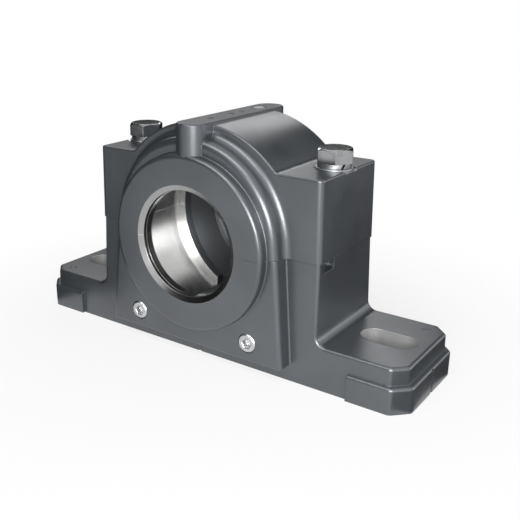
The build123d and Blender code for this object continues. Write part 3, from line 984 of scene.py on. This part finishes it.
@dataclass
class SocketPlug:
    """Plug with a hexagon socket, screwed in almost flush.

    Attributes:
        node: its CAD node.
        facing: which way the socket opens.
        radius: radius of the plug.
        length: length of the plug.
        across_flats: width of the socket.
        depth: depth of the socket.
        chamfer: chamfer on both ends.
        corner_radius: radius of the socket's corners.
        on_corner: points on each of those corners.
        on_side: points on each side of the socket.
        soft: rounding of the edges.
        mouth: width and depth of the chamfer at the socket's mouth.
        point: depth of the cone left by the drill below the socket.
        point_inset: how far the cone's end stays outside the axis.
        colour: colour of the plug's plate.
        rough: roughness of the plug's plate.
    """

    node: str
    facing: Facing
    radius: float
    length: float
    across_flats: float
    depth: float = 3.5 * MM
    chamfer: float = 0.8 * MM
    corner_radius: float = 0.12 * MM
    on_corner: int = 3
    on_side: int = 7
    soft: float = 0.12 * MM
    mouth: float = 0.35 * MM
    point: float = 1.0 * MM
    point_inset: float = 0.4 * MM
    colour: Colour = (0.64, 0.65, 0.66)
    rough: float = 0.34

    def face(self) -> Vector:
        """Middle of the plug's outer face.

        Returns:
            That point.
        """
        low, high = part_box(self.node)
        middle = (low + high) / 2
        if self.facing is Facing.FRONT:
            return Vector((middle.x, low.y, middle.z))
        if self.facing is Facing.REAR:
            return Vector((middle.x, high.y, middle.z))
        return Vector((middle.x, middle.y, high.z))

    def build(self) -> Any:
        """Rings from the bottom of the socket, up its walls, over the face and down the body.

        The socket's rings follow the hexagon; the rings outside it are circles at the same
        angles, so each spoke of the mesh runs straight out.

        Returns:
            The piece.
        """
        outline = hexagon(self.across_flats, self.corner_radius, self.on_corner, self.on_side)
        reach = np.hypot(outline[:, 0], outline[:, 1])
        around = outline / reach[:, None]
        angles = np.arctan2(outline[:, 1], outline[:, 0])
        rim, inner = self.radius, self.radius - self.chamfer
        depth, chamfer, soft, mouth = self.depth, self.chamfer, self.soft, self.mouth

        def hexed(inset: float, height: float) -> Grid:
            """Ring of the hexagon, drawn in by an inset."""
            flat = np.full((angles.size, 1), height)
            return np.hstack([around * (reach - inset)[:, None], flat])

        rings = np.stack([
            hexed(float(reach.min()) - self.point_inset, -depth - self.point),
            hexed(0.5 * MM, -depth - 0.1 * MM),
            hexed(0.1 * MM, -depth),
            hexed(0.0, -depth + soft),
            hexed(0.0, -mouth),
            hexed(-mouth, -0.3 * soft),
            hexed(-mouth - soft, 0.0),
            polar(inner - soft, angles, 0.0),
            polar(inner + soft * 0.5, angles, -0.5 * soft),
            polar(rim - soft * 0.5, angles, -chamfer + 0.5 * soft),
            polar(rim, angles, -chamfer - soft),
            polar(rim, angles, -self.length + chamfer),
            polar(inner, angles, -self.length),
        ])
        return build_mesh(f"{self.node}_bright", rings, Closing.ENDS, self.face(), self.facing)

    def dress(self) -> None:
        """Build the plug and give it its plate."""
        level = self.facing is not Facing.UP
        finish = PlatedFinish(
            f"zinc_{self.node}", self.colour, self.rough, tuple(self.face()), level
        )
        finish_piece(self.build(), finish.build(), self.node)


# ------------------------------ castings
@dataclass
class Castings:
    """The two castings and the pins between them, which keep their CAD shapes.

    Attributes:
        painted: nodes in enamel.
        pins: nodes in plain ground steel.
        pin_colour: colour of that steel.
        pin_rough: roughness of that steel.
    """

    painted: tuple[str, ...] = ("housing_base", "housing_cap")
    pins: tuple[str, ...] = ("dowel_pin_left", "dowel_pin_right")
    pin_colour: Colour = (0.55, 0.55, 0.56)
    pin_rough: float = 0.2

    def dress(self) -> None:
        """Give each node its finish."""
        enamel = CastingFinish().build()
        for name in self.painted:
            self.coat(name, enamel)
        for name in self.pins:
            low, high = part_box(name)
            centre = tuple((low + high) / 2)
            steel = PlatedFinish(f"ground_{name}", self.pin_colour, self.pin_rough, centre)
            self.coat(name, steel.build())

    def coat(self, name: str, material: Any) -> None:
        """Put one material on every slot of a node.

        Args:
            name: the node.
            material: its finish.
        """
        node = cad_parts[name]
        for slot in node.material_slots:
            slot.material = material
        log.info("%s: %s", name, material.name)


# ------------------------------ studio
def aim_at(name: str, data: Any, aim: Vector, azimuth: float, elevation: float, away: float) -> Any:
    """Put a lamp or a camera on a sphere about its aim, turned to it and level.

    Its way from the aim is (sine of azimuth, minus cosine of azimuth) times the cosine of the
    elevation, and the sine of the elevation upwards.

    Args:
        name: the object's name.
        data: the lamp or camera.
        aim: what it points at.
        azimuth: where it stands, in degrees, 0 in front and 90 to the right.
        elevation: its height above the horizon, in degrees.
        away: its distance from the aim.

    Returns:
        The object, linked into the scene.
    """
    turn, lift = math.radians(azimuth), math.radians(elevation)
    back = Vector((
        math.sin(turn) * math.cos(lift), -math.cos(turn) * math.cos(lift), math.sin(lift)
    ))
    made = bpy.data.objects.new(name, data)
    made.location = aim + back * away
    made.rotation_mode = "QUATERNION"
    made.rotation_quaternion = back.to_track_quat("Z", "Y")
    bpy.context.scene.collection.objects.link(made)
    return made


def plain_object(name: str, points: Sequence[Any], faces: Sequence[Any], material: Any) -> Any:
    """Make an object of the studio from points and faces.

    Args:
        name: the object's name.
        points: its vertices.
        faces: its faces, as vertex numbers.
        material: its material.

    Returns:
        The object, linked into the scene.
    """
    mesh = bpy.data.meshes.new(name)
    mesh.from_pydata(points, [], faces)
    mesh.materials.append(material)
    made = bpy.data.objects.new(name, mesh)
    bpy.context.scene.collection.objects.link(made)
    return made


@dataclass(frozen=True)
class Lamp:
    """One soft box.

    Attributes:
        name: its name.
        azimuth: where it stands, in degrees, 0 in front and 90 to the right.
        elevation: its height above the horizon, in degrees.
        distance: from the middle of the housing.
        width: width of the box.
        height: height of the box.
        power: its power in watts.
    """

    name: str
    azimuth: float
    elevation: float
    distance: float
    width: float
    height: float
    power: float

    def build(self, aim: Vector) -> None:
        """Hang the lamp and point it at the housing.

        Args:
            aim: what it points at.
        """
        data = bpy.data.lights.new(self.name, "AREA")
        data.shape = "RECTANGLE"
        data.size = self.width
        data.size_y = self.height
        data.energy = self.power
        aim_at(self.name, data, aim, self.azimuth, self.elevation, self.distance)


@dataclass(frozen=True)
class DarkCard:
    """Curved black card that is seen only in gloss, which keeps some faces dark.

    Its outline is a band about the Z axis: the near edge at one radius and height, the far edge
    at another, so that it stands where the radii are equal and lies where the heights are.

    Attributes:
        name: its name.
        start: azimuth of one end, in degrees, 0 in front and 90 to the right.
        end: azimuth of the other end.
        inner: radius and height of the near or lower edge.
        outer: radius and height of the far or upper edge.
    """

    name: str
    start: float
    end: float
    inner: Span
    outer: Span

    def build(self, material: Any) -> None:
        """Make the card, hidden from everything but gloss.

        Args:
            material: its black finish.
        """
        turn = np.radians(np.linspace(self.start, self.end, CARD_POINTS))
        edges = np.concatenate([
            np.stack([radius * np.sin(turn), -radius * np.cos(turn), np.full_like(turn, height)], 1)
            for radius, height in (self.inner, self.outer)
        ])
        first = np.arange(turn.size - 1)
        quads = np.stack([first, first + 1, first + turn.size + 1, first + turn.size], 1)
        card = plain_object(self.name, edges.tolist(), quads.tolist(), material)
        card.visible_camera = False
        card.visible_diffuse = False
        card.visible_shadow = False


@dataclass
class Studio:
    """Floor, soft boxes, cards, world and camera.

    Attributes:
        lamps: the soft boxes.
        cards: the dark cards.
        azimuth: direction of the camera, in degrees from the front towards the right.
        elevation: height of the camera above the horizon, in degrees.
        distance: from the camera to its aim.
        aim: what the camera looks at.
        lens: focal length on a 36 mm sensor, in millimetres.
        shift: sideways and upward shift of the lens, in frame widths.
        ambient: strength of the world's light on the housing.
        lamp_aim: what the soft boxes point at.
        floor_half: half the width of the floor.
        floor_drop: how far the floor lies under the mounting face.
        clip: nearest and farthest distance that the camera shows.
    """

    lamps: tuple[Lamp, ...] = (
        Lamp("key_box", 38.0, 18.0, 0.9, 0.70, 0.36, 3.9),
        Lamp("near_box", 38.0, 13.0, 0.46, 0.20, 0.14, 1.2),
        Lamp("upper_box", 2.0, 57.0, 1.0, 0.90, 0.32, 4.8),
        Lamp("back_box", 124.0, 9.0, 1.0, 0.40, 0.30, 1.4),
        Lamp("rim_box", -143.0, 30.5, 1.0, 0.80, 0.20, 1.75),
    )
    cards: tuple[DarkCard, ...] = (
        DarkCard("card_back", -176.0, -112.0, (1.1, -0.02), (1.1, 1.20)),
        DarkCard("card_left", -114.0, -12.0, (1.1, -0.02), (1.1, 1.80)),
        DarkCard("card_rear", 158.0, 185.0, (1.12, -0.02), (1.12, 1.90)),
        DarkCard("card_foot", 72.0, 105.0, (0.13, 0.0004), (0.22, 0.0004)),
        DarkCard("card_below", 101.0, 316.0, (0.13, 0.0005), (1.1, 0.0005)),
    )
    azimuth: float = 36.07
    elevation: float = 19.78
    distance: float = 455.0 * MM
    aim: Point = (-7.37 * MM, 0.0, 46.5 * MM)
    lens: float = 52.46
    shift: Span = (0.0725, -0.0038)
    ambient: float = 0.08
    lamp_aim: Point = (0.0, 0.0, 60.0 * MM)
    floor_half: float = 6.0
    floor_drop: float = 0.05 * MM
    clip: Span = (0.01, 50.0)

    def build_floor(self) -> None:
        """Wide floor just under the mounting face."""
        half, drop = self.floor_half, -self.floor_drop
        corners = [(-half, -half, drop), (half, -half, drop), (half, half, drop), (-half, half, drop)]
        floor = plain_object("floor", corners, [(0, 1, 2, 3)], FloorFinish().build())

    def build_world(self) -> None:
        """White to the camera and to gloss, a weaker even light on everything else."""
        world = bpy.data.worlds.new("studio_world")
        bpy.context.scene.world = world
        graph = Graph(world)
        strength = self.ambient + graph.seen() * (1.0 - self.ambient)
        light = graph.node("Background", {}, {"Color": WHITE, "Strength": strength})
        graph.node("OutputWorld", {}, {"Surface": light.outputs[0]})

    def build_camera(self) -> None:
        """Camera at its place, aimed level to the horizon."""
        data = bpy.data.cameras.new("camera")
        data.lens = self.lens
        data.sensor_width = SENSOR_WIDTH
        data.shift_x, data.shift_y = self.shift
        data.clip_start, data.clip_end = self.clip
        bpy.context.scene.camera = aim_at(
            "camera", data, Vector(self.aim), self.azimuth, self.elevation, self.distance
        )

    def build(self) -> None:
        """Set up the whole studio."""
        bpy.context.scene.view_settings.view_transform = "Standard"
        self.build_floor()
        self.build_world()
        for lamp in self.lamps:
            lamp.build(Vector(self.lamp_aim))
        black = Graph.material("black_card").surface({"Base Color": BLACK, "Roughness": 1.0})
        for card in self.cards:
            card.build(black)
        self.build_camera()
        log.info("studio: %d lamps, %d cards", len(self.lamps), len(self.cards))


# ------------------------------ all of it
# radius, length and width across the socket's flats
CORNER_PLUG = (5.5 * MM, 8.4 * MM, 5.0 * MM)
LUBRICATION_PLUG = (4.0 * MM, 7.0 * MM, 4.0 * MM)


def main() -> None:
    """Build every sub-assembly in order."""
    logging.basicConfig(level=logging.INFO, format="%(name)s %(message)s")
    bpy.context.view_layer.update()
    Castings().dress()
    for side in ("left", "right"):
        CapJoint(side).dress()
        for end, facing in (("front", Facing.FRONT), ("rear", Facing.REAR)):
            SocketPlug(f"{end}_plug_{side}", facing, *CORNER_PLUG).dress()
    SocketPlug("lubrication_plug", Facing.UP, *LUBRICATION_PLUG).dress()
    Studio().build()


if __name__ == "__main__":
    main()
